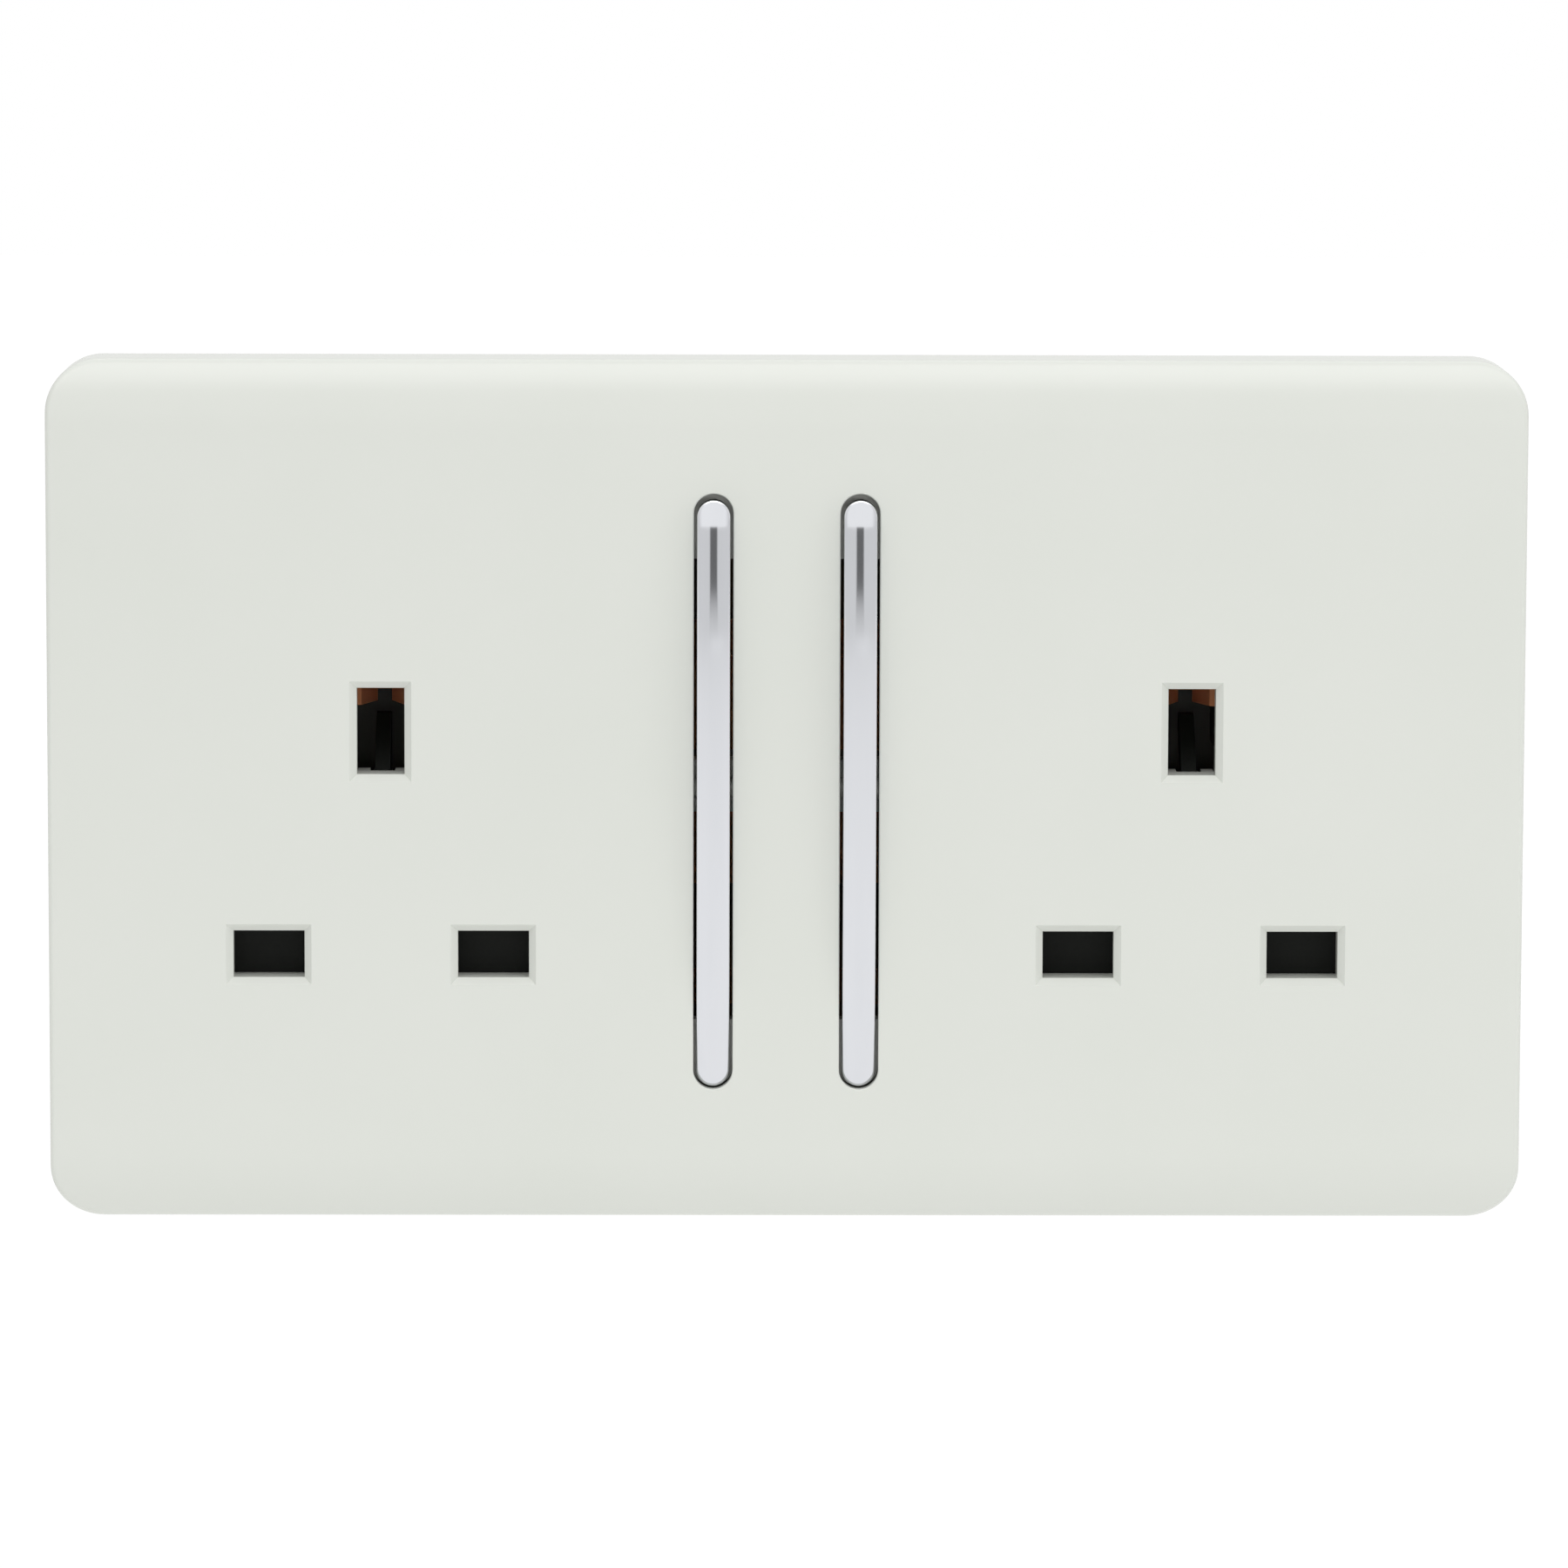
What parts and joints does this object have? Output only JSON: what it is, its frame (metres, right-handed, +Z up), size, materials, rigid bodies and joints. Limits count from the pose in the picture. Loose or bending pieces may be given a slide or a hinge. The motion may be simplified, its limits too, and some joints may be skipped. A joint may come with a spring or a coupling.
{
  "type": "twin switched socket outlet",
  "caption": "Screwless white wall socket plate with rectangular pin outlets either side of slim chrome rocker switches, on a moulded frame and contact housing.",
  "frame": {"origin": "on the wall plane, midway between the two fixing screw holes", "axes": "+X to the right seen from the room, +Y into the wall, +Z up"},
  "size_m": [0.146, 0.0299, 0.0856],
  "materials": {
    "cover_plastic": "gloss white moulding",
    "frame_plastic": "plain white moulding",
    "chrome": "bright plated",
    "shutter_plastic": "black moulding",
    "copper_strip": "rolled copper alloy strip",
    "silver_tip": "silver contact alloy",
    "brass": "machined",
    "screw_steel": "zinc plated",
    "spring_steel": "drawn wire"
  },
  "bodies": {
    "base": {"front_plate": "cover_plastic", "support_frame": "frame_plastic", "rear_housing": "frame_plastic", "fixed_tips": "silver_tip", "earth_bar": "copper_strip", "neutral_bar": "copper_strip", "line_bar": "copper_strip", "line_contact_left": "copper_strip", "line_contact_right": "copper_strip", "terminal_block_line": "brass", "terminal_block_neutral": "brass", "terminal_block_earth_left": "brass", "terminal_block_earth_right": "brass", "terminal_screws": "brass", "assembly_screws": "screw_steel", "shutter_spring_left": "spring_steel", "shutter_spring_right": "spring_steel"},
    "left_rocker": {"rocker_left": "frame_plastic", "rocker_trim_left": "chrome", "plunger_spring_left": "spring_steel"},
    "left_plunger": {"plunger_left": "frame_plastic"},
    "left_arm": {"switch_arm_left": "copper_strip", "arm_tip_left": "silver_tip"},
    "left_shutter": {"shutter_left": "shutter_plastic"},
    "right_rocker": {"rocker_right": "frame_plastic", "rocker_trim_right": "chrome", "plunger_spring_right": "spring_steel"},
    "right_plunger": {"plunger_right": "frame_plastic"},
    "right_arm": {"switch_arm_right": "copper_strip", "arm_tip_right": "silver_tip"},
    "right_shutter": {"shutter_right": "shutter_plastic"}
  },
  "joints": [
    {"name": "left_rocker_tip", "type": "hinge", "parent": "base", "child": "left_rocker", "pos_m": [-0.00723, -0.0048, 0], "axis": [1, 0, 0], "range_deg": [-4.4, 0]},
    {"name": "left_arm_tip", "type": "hinge", "parent": "base", "child": "left_arm", "pos_m": [-0.00723, 0.0082, 0], "axis": [1, 0, 0], "range_deg": [0, 17.2]},
    {"name": "left_plunger_slide", "type": "slide", "parent": "left_rocker", "child": "left_plunger", "axis": [0, -0.9993, -0.0384], "range_m": [0, 0.0006], "stiffness_N_per_m": 400, "springref_m": -0.001, "deforming": ["plunger_spring_left"]},
    {"name": "left_shutter_drop", "type": "slide", "parent": "base", "child": "left_shutter", "axis": [0, 0, -1], "range_m": [0, 0.0052], "stiffness_N_per_m": 300, "springref_m": -0.003, "deforming": ["shutter_spring_left"]},
    {"name": "right_rocker_tip", "type": "hinge", "parent": "base", "child": "right_rocker", "pos_m": [0.00723, -0.0048, 0], "axis": [1, 0, 0], "range_deg": [-4.4, 0]},
    {"name": "right_arm_tip", "type": "hinge", "parent": "base", "child": "right_arm", "pos_m": [0.00723, 0.0082, 0], "axis": [1, 0, 0], "range_deg": [0, 17.2]},
    {"name": "right_plunger_slide", "type": "slide", "parent": "right_rocker", "child": "right_plunger", "axis": [0, -0.9993, -0.0384], "range_m": [0, 0.0006], "stiffness_N_per_m": 400, "springref_m": -0.001, "deforming": ["plunger_spring_right"]},
    {"name": "right_shutter_drop", "type": "slide", "parent": "base", "child": "right_shutter", "axis": [0, 0, -1], "range_m": [0, 0.0052], "stiffness_N_per_m": 300, "springref_m": -0.003, "deforming": ["shutter_spring_right"]}
  ],
  "couplings": [
    {"joint": "left_arm_tip", "follows": "left_rocker_tip", "ratio": -3.9091},
    {"joint": "right_arm_tip", "follows": "right_rocker_tip", "ratio": -3.9091}
  ]
}
